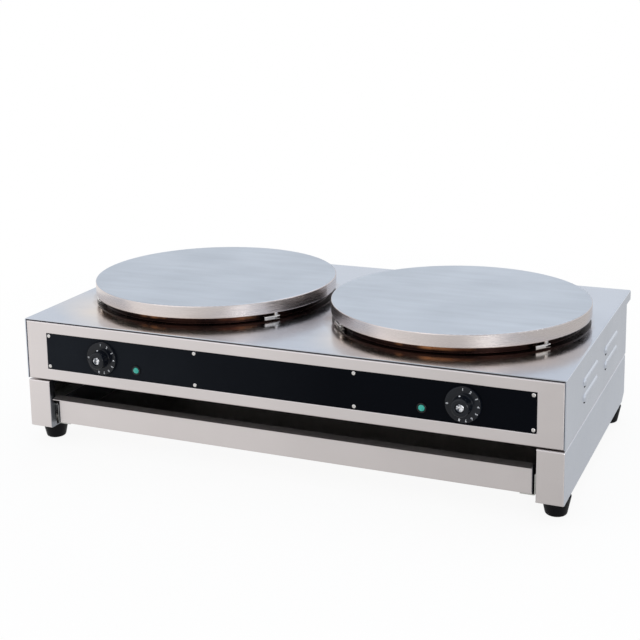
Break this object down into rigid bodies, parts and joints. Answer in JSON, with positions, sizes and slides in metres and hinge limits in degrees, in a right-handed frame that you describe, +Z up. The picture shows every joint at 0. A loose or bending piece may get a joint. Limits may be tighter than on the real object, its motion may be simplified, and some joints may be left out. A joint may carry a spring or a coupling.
{
  "type": "double electric crepe maker",
  "caption": "Countertop electric crepe maker with round flat griddle plates side by side on a stainless housing, turning thermostat knobs, pilot lamps and a pull-out crumb drawer.",
  "frame": {"origin": "centre of the bounding box at the level the feet stand on", "axes": "+X to the right as seen from the front, along the width; +Y from the control panel to the rear; +Z up"},
  "size_m": [0.866, 0.5088, 0.2392],
  "materials": {
    "satin_stainless": "brushed satin",
    "polished_stainless": "fine bright brushing",
    "machined_plate": "fine turned satin",
    "black_panel": "semi-gloss black",
    "black_sheet": "matt black",
    "heat_tinted_steel": "heat tinted",
    "bright_steel": "bright",
    "zinc_steel": "zinc plated",
    "knob_black": "semi-gloss",
    "bezel_black": "semi-gloss",
    "lamp_green": "gloss",
    "foot_rubber": "matt",
    "fibre": "felted",
    "element_sheath": "oxidised",
    "block_white": "matt",
    "gland_black": "matt"
  },
  "bodies": {
    "housing": {"top_cover": "polished_stainless", "front_panel": "satin_stainless", "control_panel": "black_panel", "panel_screws": "bright_steel", "rear_panel": "satin_stainless", "rear_panel_strip": "zinc_steel", "rear_screws": "bright_steel", "housing_floor": "black_sheet", "housing_spacers": "zinc_steel", "housing_bolts": "zinc_steel", "frame_nuts": "zinc_steel", "base_side_left": "satin_stainless", "base_side_right": "satin_stainless", "drawer_runner_left": "satin_stainless", "drawer_runner_right": "satin_stainless", "base_rear_rail": "black_sheet", "foot_bolts": "zinc_steel", "thermostat_screws": "zinc_steel", "lamp_nuts": "bezel_black", "clamp_studs": "zinc_steel", "clamp_nuts": "zinc_steel", "bracket_studs": "bright_steel", "bracket_nuts": "bright_steel", "bracket_rivets": "bright_steel", "cable_gland": "gland_black", "gland_locknut": "gland_black", "bonding_stud": "zinc_steel", "terminal_block": "block_white", "foot_front_left": "foot_rubber", "foot_front_right": "foot_rubber", "foot_rear_left": "foot_rubber", "foot_rear_right": "foot_rubber", "griddle_plate_left": "machined_plate", "griddle_plate_right": "machined_plate", "heating_element_left": "element_sheath", "heating_element_right": "element_sheath", "element_clamp_left": "zinc_steel", "element_clamp_right": "zinc_steel", "heat_pan_left": "heat_tinted_steel", "heat_pan_right": "heat_tinted_steel", "insulation_disc_left": "fibre", "insulation_disc_right": "fibre", "plate_brackets_left": "bright_steel", "plate_brackets_right": "bright_steel", "thermostat_left": "gland_black", "thermostat_right": "gland_black", "thermostat_sensor_left": "bright_steel", "thermostat_sensor_right": "bright_steel", "pilot_bezel_left": "bezel_black", "pilot_bezel_right": "bezel_black", "pilot_lens_left": "lamp_green", "pilot_lens_right": "lamp_green"},
    "drawer": {"drawer_tray": "satin_stainless"},
    "knob_left": {"knob_left": "knob_black", "knob_cap_left": "bright_steel", "spindle_left": "bright_steel"},
    "knob_right": {"knob_right": "knob_black", "knob_cap_right": "bright_steel", "spindle_right": "bright_steel"}
  },
  "joints": [
    {"name": "drawer_slide", "type": "slide", "parent": "housing", "child": "drawer", "axis": [0, -1, 0], "range_m": [0, 0.36]},
    {"name": "knob_left_turn", "type": "hinge", "parent": "housing", "child": "knob_left", "pos_m": [-0.289, -0.23505, 0.15575], "axis": [0, 1, 0], "range_deg": [0, 270]},
    {"name": "knob_right_turn", "type": "hinge", "parent": "housing", "child": "knob_right", "pos_m": [0.289, -0.23505, 0.15575], "axis": [0, 1, 0], "range_deg": [0, 270]}
  ]
}
